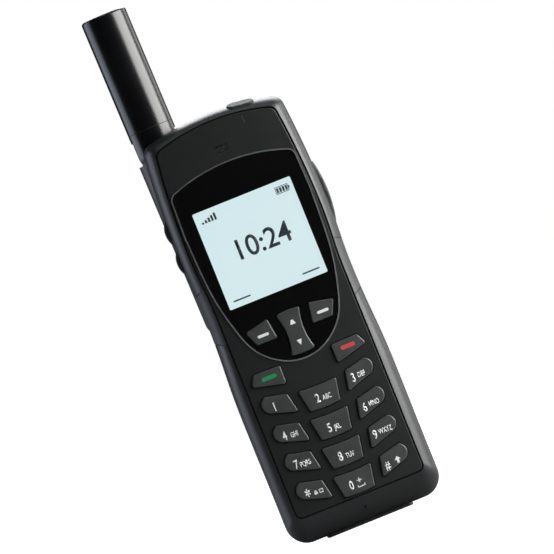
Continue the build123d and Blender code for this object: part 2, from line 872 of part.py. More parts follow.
def volume_key(z):
    """A volume key, with a flange inside the shell."""
    x_back = side_room_x - 0.1
    cap = side_bump(z, 4.4, 4.4, -7.0, -3.0, half - chest_in - 0.2, cover_peak, x_back)
    flange = block(x_back - 0.55, x_back, -7.5, -2.5, z - 4.9, z + 4.9)
    return mirrored(cap + flange)


def side_cover():
    """The rubber cover over the sockets in the right flank."""
    x_in = half - chest_in - cover_recess + 0.05
    z_low = cover_low - 0.15
    z_high = cover_high - 0.15
    return side_bump(side_z, z_low, z_high, cover_front_y + 0.15, cover_rear_y - 0.15, half - chest_in,
                     cover_peak, x_in)


def power_place():
    """The power button's frame: on the top end, leaning forwards and following the dome."""
    turned = Rot(power_tilt, 0, 0) * Rot(0, power_lean, 0)
    return Pos(power_x, power_y, body_length - power_drop) * turned


def power_pill(grow=0.0):
    """The power button's outline."""
    return SlotOverall(power_w + 2 * grow, power_h + 2 * grow)


def power_hole():
    """The hole for the power button."""
    return power_place() * extrude(power_pill(0.15), amount=4, both=True)


def power_button():
    """The power button and its stem."""
    stem = Pos(0, 0, -2.6) * extrude(power_pill(), amount=2.6 + 0.45)
    return power_place() * fillet(stem.edges().group_by(Axis.Z)[-1], 0.35)


def base_block():
    """The block in the bottom end, with the flat face that the phone stands on and the charger's hole."""
    x = base_half - 0.05
    foot = block(-x, x, base_front_y + 0.05, base_rear_y - 0.05, 0, base_t)
    foot = fillet(foot.edges().filter_by(Axis.Z), 1.5)
    foot = fillet(foot.faces().sort_by(Axis.Z)[0].edges(), 0.4)
    return foot - Pos(0, dc_y, 0) * Cylinder(dc_r, 20)


def dc_socket():
    """The charger's socket, behind the base block."""
    reach = dc_r + 1.6
    body = block(-reach, reach, parting_y + 0.4, bay_floor_y - bay_floor_t - 0.1, base_t, base_t + 9.9)
    return body - Pos(0, dc_y, base_t) * Cylinder(dc_r, 14)


# ---------------------------------------------------------------- antenna
def antenna_radome():
    """The antenna's thick plastic tube, closed at its top."""
    top = collar_top + radome_length
    outer = upright(antenna_r, collar_top, top)
    outer = fillet(outer.edges().group_by(Axis.Z)[-1], 1.0)
    return antenna_place * (outer - upright(antenna_r - radome_wall, collar_top, top - 1.6))


def antenna_flex():
    """The rolled circuit inside the radome that carries the helical elements."""
    r = antenna_r - radome_wall - 0.3
    low = collar_top + 1.0
    high = collar_top + radome_length - 3.0
    return antenna_place * (upright(r, low, high) - upright(r - 0.4, low - 1, high + 1))


def antenna_collar():
    """The antenna's foot: a ball at its lower end, and slotted for the slider's tongue."""
    body = upright(antenna_r, 0, collar_top) + Sphere(antenna_r)
    body = body + upright(antenna_r - radome_wall - 0.75, 0, collar_top + 1.0)
    slot = Pos(0, 0, -10) * Box(4 * antenna_r, tongue_t + 2 * tongue_gap, 30)
    return antenna_place * (body - slot - Rot(90, 0, 0) * Cylinder(pin_r, 40))


def swivel_pin():
    """The pin that the antenna swivels on."""
    return antenna_place * Rot(90, 0, 0) * Cylinder(pin_r, 2 * antenna_r - 1.6)


def antenna_slider():
    """The piece that slides in the channel, with the tongue that the pin goes through."""
    top = -antenna_r - slider_gap
    body = upright(antenna_r, top - slider_length, top)
    groove_z = top - slider_length / 2
    groove = upright(antenna_r + 1, groove_z - slider_groove / 2, groove_z + slider_groove / 2)
    groove = groove - upright(antenna_r - slider_groove_depth, groove_z - 2, groove_z + 2)
    tongue = Box(tongue_w, tongue_t, 1.0 - top, align=(Align.CENTER, Align.CENTER, Align.MAX))
    eye = Rot(90, 0, 0) * Cylinder(tongue_w / 2, tongue_t)
    hole = Rot(90, 0, 0) * Cylinder(pin_r + pin_fit, 40)
    return antenna_place * (body - groove + tongue + eye - hole)


def slider_ring():
    """The rubber ring that gives the slider its drag."""
    z = -antenna_r - slider_gap - slider_length / 2
    reach = slider_groove / 2 - 0.02
    ring = upright(antenna_r + 0.05, z - reach, z + reach)
    return antenna_place * (ring - upright(antenna_r - slider_groove_depth, z - 2, z + 2))


# ---------------------------------------------------------------- battery and back
def latch_room():
    """The pocket above the battery for its latch."""
    x = latch_half + latch_fit
    return block(-x, x, rear_depth - 2.4, 40, bay_top - 2, bay_top + 10.5 + latch_travel)


def battery_latch():
    """The battery's latch: a ridged slide with a tongue over the pack's edge."""
    z0 = bay_top + 1.2
    y0 = rear_depth - 2.3
    pad = block(-latch_half, latch_half, y0, rear_depth + 0.6, z0, z0 + 6.0)
    pad = fillet(pad.faces().sort_by(Axis.Y)[-1].edges(), 0.5)
    ridges = []
    for n in range(3):
        z = z0 + 1.4 + 1.5 * n
        ridges.append(block(-5, 5, rear_depth + 0.2, rear_depth + 0.95, z, z + 0.6))
    tongue = block(-3.5, 3.5, y0, y0 + 0.9, bay_top - 1.6, z0 + 1)
    return pad + ridges + tongue


def latch_spring():
    """The latch's spring, as its closed length."""
    z0 = bay_top + 7.3
    body = Pos(0, rear_depth - 1.2, z0) * Cylinder(0.9, 4.0, align=(Align.CENTER, Align.CENTER, Align.MIN))
    return body - Pos(0, rear_depth - 1.2, z0) * Cylinder(0.5, 10)


def battery_pack():
    """The battery pack, which makes the lower back."""
    pack = slab(bay_outline(battery_gap), bay_floor_y + battery_gap, battery_back_y)
    pack = fillet(pack.faces().sort_by(Axis.Y)[-1].edges(), battery_edge_r)
    x = latch_half + latch_fit
    notch = block(-3.9, 3.9, rear_depth - 2.6, rear_depth - 1.1, bay_top - 2.0, bay_top + 1)
    latch_step = block(-x, x, rear_depth - 1.15, 40, bay_top - 2.0, bay_top + 1)
    label = Pos(0, (bay_base + bay_top) / 2 + 8.0) * RectangleRounded(label_w, label_h, 1.5)
    label = slab(label, battery_back_y - label_depth, 40)
    grooves = []
    for n in range(6):
        groove = Pos(0, bay_base + 8.0 + 2 * thumb_groove * n) * SlotOverall(thumb_w, thumb_groove)
        grooves.append(slab(groove, battery_back_y - thumb_groove_depth, 40))
    return pack - notch - latch_step - label - grooves


def rf_recess():
    """The recess in the back for the antenna socket's cover."""
    return slab(Pos(rf_x, rf_z) * RectangleRounded(9.0, 12.0, 1.5), rear_depth - 1.0, 40)


def rf_port_cover():
    """The rubber cover over the outside antenna's socket."""
    cover = slab(Pos(rf_x, rf_z) * RectangleRounded(8.7, 11.7, 1.35), rear_depth - 0.95, rear_depth + 0.5)
    return fillet(cover.faces().sort_by(Axis.Y)[-1].edges(), 0.5)


# ---------------------------------------------------------------- all the pieces
def main():
    """Builds every piece and writes its file."""
    keys = face_keys()
    front = front_form()
    rear = rear_form()
    seal = gasket()
    whole = front + rear
    grip = side_grip(whole)
    grip = grip - slab(body_outline(1, 0.2), rim_y - 2, panel_back_y)
    grip_room = side_grip(whole, 0.2)
    rooms = [grip_room, mirrored(grip_room) - tube_core(tube_r)]
    nodes = {
        "front_housing": front_housing(front, keys, seal) - rooms,
        "rear_housing": rear_housing(rear) - rooms,
        "shell_gasket": seal,
        "side_grip_left": mirrored(grip) - tube_core(tube_r + 0.2),
        "side_grip_right": grip,
        "face_panel": face_panel(keys),
        "lens_ring": lens_ring(),
        "display_lens": display_lens(keys),
        "display_window": display_window(),
        "lcd_panel": lcd_panel(),
        "lcd_frame": lcd_frame(),
        "earpiece_mesh": earpiece_mesh(),
        "earpiece_speaker": earpiece_speaker(),
        "light_pipe": light_pipe(),
        "keypad_mat": keypad_mat(keys),
        "key_domes": key_domes(keys),
        "main_board": main_board(),
        "rf_shields": rf_shields(),
        "microphone": microphone(),
        "side_switches": side_switches(),
        "usb_socket": usb_socket(),
        "headset_jack": headset_jack(),
        "side_cover": side_cover(),
        "power_button": power_button(),
        "base_block": base_block(),
        "dc_socket": dc_socket(),
        "rear_speaker": rear_speaker(),
        "battery_contacts": battery_contacts(),
        "sim_holder": sim_holder(),
        "rf_connector": rf_connector(),
        "rf_port_cover": rf_port_cover(),
        "housing_screws": housing_screws(),
        "antenna_radome": antenna_radome(),
        "antenna_flex": antenna_flex(),
        "antenna_collar": antenna_collar(),
        "swivel_pin": swivel_pin(),
        "antenna_slider": antenna_slider(),
        "slider_ring": slider_ring(),
        "battery_pack": battery_pack(),
        "battery_latch": battery_latch(),
        "latch_spring": latch_spring(),
    }
    for name, (outline, proud) in keys.items():
        nodes[name] = key_solid(outline, proud, nav_play if name == "nav_key" else flange_play)
    for name, z in volume_places().items():
        nodes[name] = volume_key(z)
    os.makedirs("parts", exist_ok=True)
    for name, solid in nodes.items():
        solid.label = name
        export_step(solid, f"parts/{name}.step")


main()
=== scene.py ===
"""The satellite phone's looks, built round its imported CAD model: finishes, key legends, the antenna's seam,
the latch's spring, the display's picture, and the studio. Lengths are in metres unless a name or a comment
says millimetres."""

import json
import math

import bmesh
import bpy
from mathutils import Matrix, Quaternion, Vector
from mathutils.bvhtree import BVHTree


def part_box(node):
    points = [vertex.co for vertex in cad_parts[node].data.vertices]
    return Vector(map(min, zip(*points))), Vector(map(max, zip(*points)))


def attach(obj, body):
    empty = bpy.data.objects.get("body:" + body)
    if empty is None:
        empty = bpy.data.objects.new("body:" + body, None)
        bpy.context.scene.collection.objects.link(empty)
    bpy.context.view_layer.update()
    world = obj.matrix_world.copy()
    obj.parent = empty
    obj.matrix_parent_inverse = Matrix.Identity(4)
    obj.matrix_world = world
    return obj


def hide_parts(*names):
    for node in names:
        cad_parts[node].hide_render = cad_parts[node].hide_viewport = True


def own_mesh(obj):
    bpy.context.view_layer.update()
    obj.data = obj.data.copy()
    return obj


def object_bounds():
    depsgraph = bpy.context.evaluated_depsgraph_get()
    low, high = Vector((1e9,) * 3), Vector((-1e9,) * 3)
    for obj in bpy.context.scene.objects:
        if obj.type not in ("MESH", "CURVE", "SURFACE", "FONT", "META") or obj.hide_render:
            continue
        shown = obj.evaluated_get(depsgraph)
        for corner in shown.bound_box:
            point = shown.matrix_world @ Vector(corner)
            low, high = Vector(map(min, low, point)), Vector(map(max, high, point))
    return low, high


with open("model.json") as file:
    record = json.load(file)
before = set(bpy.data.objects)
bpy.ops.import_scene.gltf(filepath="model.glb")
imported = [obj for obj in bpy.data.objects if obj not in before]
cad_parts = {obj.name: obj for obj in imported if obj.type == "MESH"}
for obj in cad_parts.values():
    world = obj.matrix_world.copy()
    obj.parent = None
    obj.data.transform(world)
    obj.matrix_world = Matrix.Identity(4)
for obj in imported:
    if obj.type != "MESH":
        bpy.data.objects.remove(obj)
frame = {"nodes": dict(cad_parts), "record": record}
cad_low, cad_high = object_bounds()
nodes = frame["nodes"]
MM = 0.001


# ---------------------------------------------------------------- materials
class Finish:
    """A Principled material with its node tree, and short ways to add procedural detail to it."""

    def __init__(self, name, colour, roughness, **values):
        self.material = bpy.data.materials.new(name)
        self.material.use_nodes = True
        self.tree = self.material.node_tree
        self.shader = self.tree.nodes["Principled BSDF"]
        self.shader.inputs["Base Color"].default_value = (*colour, 1)
        self.shader.inputs["Roughness"].default_value = roughness
        for socket, value in values.items():
            self.shader.inputs[socket.replace("_", " ")].default_value = value
        self.place = self.tree.nodes.new("ShaderNodeTexCoord").outputs["Object"]

    def link(self, start, end):
        self.tree.links.new(start, end)
        return self

    def noise(self, size, detail=3.0, stretch=None):
        """Noise with features about size metres across, from 0 to 1."""
        node = self.tree.nodes.new("ShaderNodeTexNoise")
        node.inputs["Scale"].default_value = 1 / size
        node.inputs["Detail"].default_value = detail
        place = self.place
        if stretch:
            mapping = self.tree.nodes.new("ShaderNodeMapping")
            mapping.inputs["Scale"].default_value = stretch
            self.link(place, mapping.inputs["Vector"])
            place = mapping.outputs["Vector"]
        self.link(place, node.inputs["Vector"])
        return node.outputs["Fac"]

    def cells(self, size):
        """Rounded cells about size metres across: 0 in their middles."""
        node = self.tree.nodes.new("ShaderNodeTexVoronoi")
        node.inputs["Scale"].default_value = 1 / size
        self.link(self.place, node.inputs["Vector"])
        return node.outputs["Distance"]

    def waves(self, size, direction="Z", shape="SIN"):
        """Parallel ribs, one each size metres."""
        node = self.tree.nodes.new("ShaderNodeTexWave")
        node.bands_direction = direction
        node.wave_profile = shape
        node.inputs["Scale"].default_value = math.pi / 10 / size
        self.link(self.place, node.inputs["Vector"])
        return node.outputs["Fac"]

    def ramp(self, source, stops):
        """Colours along a value, as (place, colour) pairs."""
        node = self.tree.nodes.new("ShaderNodeValToRGB")
        while len(node.color_ramp.elements) < len(stops):
            node.color_ramp.elements.new(0.5)
        for element, (where, colour) in zip(node.color_ramp.elements, stops):
            element.position = where
            element.color = (*colour, 1)
        self.link(source, node.inputs["Fac"])
        return node.outputs["Color"]

    def spread(self, source, low, high):
        """A 0 to 1 value as low to high."""
        node = self.tree.nodes.new("ShaderNodeMapRange")
        node.inputs["To Min"].default_value = low
        node.inputs["To Max"].default_value = high
        self.link(source, node.inputs["Value"])
        return node.outputs["Result"]

    def tint(self, source, dark, light):
        """The colour wanders between two tones."""
        return self.link(self.ramp(source, [(0.35, dark), (0.65, light)]), self.shader.inputs["Base Color"])

    def gloss(self, source, low, high):
        """The roughness wanders between two values."""
        return self.link(self.spread(source, low, high), self.shader.inputs["Roughness"])

    def bump(self, source, depth, strength=1.0):
        """Relief of depth metres, added to what is there."""
        node = self.tree.nodes.new("ShaderNodeBump")
        node.inputs["Strength"].default_value = strength
        node.inputs["Distance"].default_value = depth
        self.link(source, node.inputs["Height"])
        normal = self.shader.inputs["Normal"]
        if normal.links:
            self.link(normal.links[0].from_socket, node.inputs["Normal"])
        return self.link(node.outputs["Normal"], normal)


def moulded(name, dark, light, roughness, grain=0.35 * MM, depth=0.012 * MM, wear=0.05):
    """Moulded plastic with a spark-eroded grain, and places that handling has polished."""
    finish = Finish(name, light, roughness, IOR=1.5)
    finish.tint(finish.noise(9 * MM, 4), dark, light)
    finish.gloss(finish.noise(14 * MM, 5), roughness - wear, roughness + wear)
    finish.bump(finish.noise(grain, 2), depth, 0.6)
    return finish.material


def rubber(name, colour, roughness=0.62):
    """Soft rubber with a fine matt grain and a little dust in it."""
    pale = tuple(c * 1.5 + 0.004 for c in colour)
    finish = Finish(name, colour, roughness, Sheen_Weight=0.12, Sheen_Roughness=0.5)
    finish.tint(finish.noise(5 * MM, 6), colour, pale)
    finish.gloss(finish.noise(3 * MM), roughness - 0.08, roughness + 0.06)
    finish.bump(finish.cells(0.28 * MM), 0.01 * MM, 0.5)
    return finish.material


def metal(name, colour, roughness, stretch=None):
    """Metal with fine marks, along one axis where it is stretched."""
    finish = Finish(name, colour, roughness, Metallic=1.0)
    finish.gloss(finish.noise(1.5 * MM, 4, stretch), roughness - 0.06, roughness + 0.1)
    finish.bump(finish.noise(0.3 * MM, 2, stretch), 0.002 * MM, 0.5)
    return finish.material


def ink(name, colour, glow=0.0):
    """A printed or moulded-in legend, slightly uneven. Given a glow, it also gives off faint light of its own
    colour: a painted glow that brightens the print.
    """
    finish = Finish(name, colour, 0.45)
    finish.tint(finish.noise(0.6 * MM), tuple(c * 0.88 for c in colour), colour)
    if glow:
        finish.shader.inputs["Emission Color"].default_value = (*colour, 1)
        finish.shader.inputs["Emission Strength"].default_value = glow
    return finish.material


def gloss_black():
    """The display lens: polished black plastic with faint haze from wiping."""
    black = (0.003, 0.003, 0.0035)
    finish = Finish("lens_gloss", black, 0.08, IOR=1.46, Coat_Weight=0.3, Coat_Roughness=0.03)
    finish.gloss(finish.noise(6 * MM, 5), 0.05, 0.13)
    return finish.material


def clear_pane():
    """The clear pane over the display."""
    finish = Finish("pane_clear", (0.97, 0.99, 1.0), 0.02, IOR=1.46, Transmission_Weight=1.0)
    finish.gloss(finish.noise(8 * MM, 4), 0.01, 0.04)
    return finish.material


DOT_PITCH = 0.27 * MM


def display_glow():
    """The lit display: pale blue, its brightness wandering a little over broad patches, with a faint dot grid.
    """
    finish = Finish("display_glow", (0.03, 0.04, 0.042), 0.4)
    tone = finish.ramp(finish.noise(40 * MM, 1), [(0.3, (0.68, 0.845, 0.87)), (0.7, (0.72, 0.865, 0.885))])
    finish.link(tone, finish.shader.inputs["Emission Color"])
    finish.shader.inputs["Emission Strength"].default_value = 1.0
    for direction in "XZ":
        finish.bump(finish.waves(DOT_PITCH, direction), 0.002 * MM, 0.3)
    return finish.material


def circuit_board():
    """Green solder mask with darker tracks under it."""
    finish = Finish("board_green", (0.02, 0.13, 0.05), 0.35, Coat_Weight=0.4, Coat_Roughness=0.15)
    tracks = finish.waves(1.1 * MM, "DIAGONAL", "SAW")
    tone = finish.ramp(tracks, [(0.45, (0.012, 0.085, 0.035)), (0.55, (0.025, 0.16, 0.065))])
    finish.link(tone, finish.shader.inputs["Base Color"])
    finish.bump(tracks, 0.02 * MM, 0.4)
    return finish.material


def textured_rubber():
    """The side cover's rubber, with the raised pips that its face carries."""
    finish = Finish("cover_rubber", (0.03, 0.031, 0.033), 0.58)
    finish.tint(finish.noise(4 * MM, 5), (0.022, 0.023, 0.025), (0.036, 0.037, 0.04))
    finish.bump(finish.cells(1.1 * MM), 0.14 * MM, 0.9)
    finish.bump(finish.noise(0.2 * MM), 0.006 * MM, 0.5)
    return finish.material


def flexible_circuit():
    """Amber film with copper helix tracks."""
    finish = Finish("flex_amber", (0.4, 0.2, 0.04), 0.3)
    tracks = finish.waves(4 * MM, "Z", "TRI")
    tone = finish.ramp(tracks, [(0.6, (0.36, 0.18, 0.03)), (0.68, (0.75, 0.36, 0.18))])
    finish.link(tone, finish.shader.inputs["Base Color"])
    finish.bump(tracks, 0.03 * MM, 0.5)
    return finish.material


# mould name: (darker tone, lighter tone, roughness, grain's size, its depth)
MOULDED = {
    "shell_satin": ((0.0095, 0.0112, 0.0122), (0.0130, 0.0150, 0.0163), 0.40, 0.35 * MM, 0.012 * MM),
    "back_satin": ((0.0135, 0.0145, 0.0155), (0.0175, 0.0188, 0.0202), 0.43, 0.45 * MM, 0.02 * MM),
    "panel_satin": ((0.0035, 0.0046, 0.0050), (0.0052, 0.0066, 0.0072), 0.48, 0.4 * MM, 0.014 * MM),
    "grip_satin": ((0.020, 0.0215, 0.024), (0.027, 0.029, 0.032), 0.5, 0.5 * MM, 0.03 * MM),
    "keycap_satin": ((0.038, 0.043, 0.042), (0.054, 0.060, 0.059), 0.36, 0.3 * MM, 0.015 * MM),
    "antenna_satin": ((0.0022, 0.0025, 0.0032), (0.0034, 0.0038, 0.0046), 0.25, 0.6 * MM, 0.004 * MM),
    "inner_black": ((0.010, 0.010, 0.011), (0.016, 0.016, 0.017), 0.5, 0.35 * MM, 0.012 * MM),
}
shell, back_shell, panel, grip, keycap, antenna_black, inner_black = (
    moulded(name, *values) for name, values in MOULDED.items()
)
soft = rubber("soft_black", (0.016, 0.017, 0.018))
ring_metal = metal("ring_satin_metal", (0.52, 0.53, 0.55), 0.3)
steel = metal("steel_plain", (0.55, 0.55, 0.56), 0.3, (1, 1, 8))
gold = metal("gold_plate", (0.85, 0.6, 0.22), 0.22)
light_guide = Finish("light_guide", (0.9, 0.93, 0.95), 0.2, Transmission_Weight=0.7, IOR=1.49)
light_guide.gloss(light_guide.noise(1 * MM), 0.15, 0.3)

KEY_NODES = [
    *(f"key_{n}" for n in (1, 2, 3, 4, 5, 6, 7, 8, 9, "star", 0, "hash")),
    "send_key",
    "end_key",
    "soft_key_left",
    "soft_key_right",
    "nav_key",
]
finishes = {
    "front_housing": shell,
    "rear_housing": back_shell,
    "base_block": back_shell,
    "battery_pack": back_shell,
    "battery_latch": back_shell,
    "face_panel": panel,
    "side_grip_left": grip,
    "side_grip_right": grip,
    "display_lens": gloss_black(),
    "display_window": clear_pane(),
    "lcd_panel": display_glow(),
    "lens_ring": ring_metal,
    "side_cover": textured_rubber(),
    "main_board": circuit_board(),
    "antenna_flex": flexible_circuit(),
    "light_pipe": light_guide.material,
}
finishes.update((name, keycap) for name in KEY_NODES)
SHARED = [
    (antenna_black, ("antenna_radome", "antenna_collar", "antenna_slider")),
    (gold, ("battery_contacts", "rf_connector")),
    (steel, ("lcd_frame", "earpiece_mesh", "rf_shields", "housing_screws", "swivel_pin", "key_domes")),
    (metal("socket_metal", (0.12, 0.12, 0.125), 0.5), ("usb_socket",)),
    (
        inner_black,
        ("earpiece_speaker", "side_switches", "headset_jack", "dc_socket", "rear_speaker", "sim_holder"),
    ),
]
for material, names in SHARED:
    finishes.update((name, material) for name in names)
for name, node in nodes.items():
    node.data.materials.clear()
    node.data.materials.append(finishes.get(name, soft))
    node.data.polygons.foreach_set("material_index", [0] * len(node.data.polygons))


# ---------------------------------------------------------------- legends on the keys
# the key legends' inks carry a faint painted glow of their own colour, which brightens the print
white = ink("legend_white", (0.78, 0.79, 0.8), 0.12)
green = ink("legend_green", (0.012, 0.26, 0.10), 0.08)
red = ink("legend_red", (0.55, 0.055, 0.045), 0.12)
dark = ink("display_ink", (0.045, 0.075, 0.09))
INK_T = 0.03 * MM
PICTURE_T = 0.02 * MM
EDGE_LONGEST = 0.7 * MM  # legends are divided down to this, so that they follow a curved key
DIVISIONS = 6
WELD = 1e-7
IN_FRONT = -0.05  # rays towards the phone start here
CAPITAL = 0.729  # height of a capital in the built-in font at size 1


def surface_of(name):
    """A node's surface, for laying legends on."""
    mesh = nodes[name].data
    return BVHTree.FromPolygons([v.co for v in mesh.vertices], [tuple(p.vertices) for p in mesh.polygons])


def flat_shape(outlines):
    """Faces in x and z from closed outlines, given in millimetres."""
    shape = bmesh.new()
    for outline in outlines:
        shape.faces.new([shape.verts.new((x * MM, 0, z * MM)) for x, z in outline])
    return shape


def lettering(text, x, z, height, narrow, bold):
    """Letters of a height in millimetres, standing on z, from x to the right."""
    curve = bpy.data.curves.new("lettering", "FONT")
    curve.body = text
    curve.size = 1
    curve.offset = bold
    curve.resolution_u = 6
    writer = bpy.data.objects.new("lettering", curve)
    bpy.context.scene.collection.objects.link(writer)
    bpy.context.view_layer.update()
    drawn = bpy.data.meshes.new_from_object(writer)
    bpy.data.objects.remove(writer)
    shape = bmesh.new()
    shape.from_mesh(drawn)
    size = height / CAPITAL * MM
    for vertex in shape.verts:
        vertex.co = (x * MM + vertex.co.x * size * narrow, 0, z * MM + vertex.co.y * size)
    return shape


def placed(shape, name, finish, body):
    """The piece that a finished shape makes: it has a finish, and rides with a body."""
    bmesh.ops.recalc_face_normals(shape, faces=shape.faces)
    mesh = bpy.data.meshes.new(name)
    shape.to_mesh(mesh)
    shape.free()
    mesh.materials.append(finish)
    piece = bpy.data.objects.new(name, mesh)
    bpy.context.scene.collection.objects.link(piece)
    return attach(piece, body)


def laid_on(shape, name, node, body, finish, thickness=INK_T):
    """Turns flat faces into a thin legend that follows the node's front, and rides with a body."""
    target = surface_of(node)
    bmesh.ops.remove_doubles(shape, verts=shape.verts, dist=WELD)
    bmesh.ops.triangulate(shape, faces=shape.faces)
    for _ in range(DIVISIONS):
        long = [e for e in shape.edges if e.calc_length() > EDGE_LONGEST]
        if not long:
            break
        bmesh.ops.subdivide_edges(shape, edges=long, cuts=1)
        bmesh.ops.triangulate(shape, faces=shape.faces)
    for vertex in shape.verts:
        hit = target.ray_cast(Vector((vertex.co.x, IN_FRONT, vertex.co.z)), Vector((0, 1, 0)))[0]
        vertex.co.y = hit.y if hit else cad_low.y
    front = bmesh.ops.extrude_face_region(shape, geom=shape.faces[:])["geom"]
    for vertex in (g for g in front if isinstance(g, bmesh.types.BMVert)):
        vertex.co.y -= thickness
    return placed(shape, name, finish, body)


def joined(*shapes):
    """Several flat shapes as one."""
    whole = bmesh.new()
    for shape in shapes:
        mesh = bpy.data.meshes.new("part")
        shape.to_mesh(mesh)
        shape.free()
        whole.from_mesh(mesh)
        bpy.data.meshes.remove(mesh)
    return whole


END_STEPS = 8  # along each rounded end of a bar


def bar(x0, x1, z, thickness):
    """A bar with rounded ends, in millimetres."""
    r = thickness / 2
    outline = []
    for side, end in ((1, x1 - r), (-1, x0 + r)):
        for step in range(END_STEPS + 1):
            turn = math.radians(-90 + step * 180 / END_STEPS)
            outline.append((end + side * r * math.cos(turn), z + side * r * math.sin(turn)))
    return flat_shape([outline])


def box(x0, x1, z0, z1):
    """The outline of a rectangle."""
    return [(x0, z0), (x1, z0), (x1, z1), (x0, z1)]


def frame_of(x0, x1, z0, z1, line):
    """An open rectangle drawn with a line of some width."""
    return flat_shape(
        [
            box(x0, x1, z0, z0 + line),
            box(x0, x1, z1 - line, z1),
            box(x0, x0 + line, z0 + line, z1 - line),
            box(x1 - line, x1, z0 + line, z1 - line),
        ]
    )


def padlock(x, z):
    """A small closed lock sign."""
    body = flat_shape([box(x, x + 1.1, z - 0.45, z + 0.3)])
    return joined(body, frame_of(x + 0.22, x + 0.88, z + 0.3, z + 0.85, 0.2))


DIGIT_H = 3.0
LETTER_H = 1.75
STAR_H = 4.2
DIGIT_NARROW, DIGIT_BOLD = 0.7, 0.016
LETTER_NARROW, LETTER_BOLD = 0.63, 0.02
# key: (digit, x, z, letters, x, z), in millimetres
LEGENDS = {
    "key_1": ("1", -16.2, 45.0, "", 0, 0),
    "key_2": ("2", -2.2, 42.4, "ABC", 0.1, 42.5),
    "key_3": ("3", 11.0, 44.3, "DEF", 13.3, 45.1),
    "key_4": ("4", -16.7, 35.0, "GHI", -14.1, 35.0),
    "key_5": ("5", -2.2, 32.1, "JKL", 0.1, 32.2),
    "key_6": ("6", 10.9, 34.0, "MNO", 13.2, 35.0),
    "key_7": ("7", -16.7, 25.0, "PQRS", -14.8, 25.0),
    "key_8": ("8", -2.4, 22.1, "TUV", 0.0, 22.2),
    "key_9": ("9", 10.7, 24.5, "WXYZ", 12.8, 25.4),
    "key_star": ("*", -16.8, 13.6, "", 0, 0),
    "key_0": ("0", -2.6, 12.1, "", 0, 0),
    "key_hash": ("#", 10.6, 13.7, "", 0, 0),
}
for name, (digit, x, z, letters, letters_x, letters_z) in LEGENDS.items():
    height = STAR_H if digit == "*" else DIGIT_H
    shapes = [lettering(digit, x, z, height, DIGIT_NARROW, DIGIT_BOLD)]
    if letters:
        shapes.append(lettering(letters, letters_x, letters_z, LETTER_H, LETTER_NARROW, LETTER_BOLD))
    if name == "key_star":
        shapes += [padlock(-13.9, 15.5), frame_of(-12.2, -10.8, 15.0, 16.3, 0.25)]
    if name == "key_0":
        shapes += [bar(0.3, 2.0, 14.2, 0.35), flat_shape([box(1.0, 1.32, 13.4, 15.0)])]  # a plus
        shapes += [bar(0.0, 2.6, 12.1, 0.3)]  # a space sign
        shapes += [flat_shape([box(0.0, 0.3, 12.1, 12.7)]), flat_shape([box(2.3, 2.6, 12.1, 12.7)])]
    if name == "key_hash":
        shapes.append(flat_shape([box(14.85, 15.65, 14.6, 15.7), [(14.2, 15.7), (16.3, 15.7), (15.25, 16.9)]]))
    laid_on(joined(*shapes), f"{name}_legend", name, f"{name}_cap", white)

# key: (from x, to x, z, thickness, ink)
BARS = {
    "soft_key_left": (-12.1, -8.2, 69.2, 0.95, white),
    "soft_key_right": (8.7, 12.7, 69.4, 0.95, white),
    "send_key": (-16.1, -11.0, 55.8, 1.35, green),
    "end_key": (11.5, 16.5, 55.9, 1.35, red),
}
for name, (x0, x1, z, thickness, colour) in BARS.items():
    laid_on(bar(x0, x1, z, thickness), f"{name}_bar", name, f"{name}_cap", colour)
up = [(-0.75, 69.0), (1.15, 69.0), (0.55, 70.5), (-0.15, 70.5)]
down = [(0.1, 61.8), (1.0, 63.7), (-0.8, 63.7)]
laid_on(flat_shape([up, down]), "nav_key_arrows", "nav_key", "nav_key_cap", white)


# ---------------------------------------------------------------- round pieces
def bridged(shape, loops):
    """Faces between each loop of corners and the next."""
    for lower, upper in zip(loops, loops[1:]):
        for i in range(len(lower)):
            following = (i + 1) % len(lower)
            shape.faces.new((lower[i], lower[following], upper[following], upper[i]))


def turns(count):
    """Angles evenly round a circle."""
    return (2 * math.pi * i / count for i in range(count))


# ---------------------------------------------------------------- the antenna's seam
SEAM_RISE = 7.5 * MM  # from the swivel to the seam between the collar and the radome
SEAM_INNER_R = 7.6 * MM
SEAM_OUTER_R = 7.765 * MM
SEAM_TALL = 0.28 * MM
SEAM_EDGE = 0.05 * MM
SEAM_STEPS = 96
LEAN = math.radians(0.9)  # the antenna's, outwards
swivel = next(j for j in frame["record"]["behaviour"]["joints"] if j["name"] == "antenna_swivel")
section = [
    (SEAM_INNER_R, 0),
    (SEAM_OUTER_R, SEAM_EDGE),
    (SEAM_OUTER_R, SEAM_TALL - SEAM_EDGE),
    (SEAM_INNER_R, SEAM_TALL),
]
ring = bmesh.new()
loops = [
    [ring.verts.new((radius * math.cos(t), radius * math.sin(t), SEAM_RISE + rise)) for t in turns(SEAM_STEPS)]
    for radius, rise in section
]
bridged(ring, loops + loops[:1])
ring.transform(Matrix.Translation(swivel["pos_m"]) @ Matrix.Rotation(-LEAN, 4, "Y"))
seam_black = moulded("seam_black", (0.0012, 0.0012, 0.0014), (0.002, 0.002, 0.0022), 0.75)
placed(ring, "antenna_seam", seam_black, "antenna")


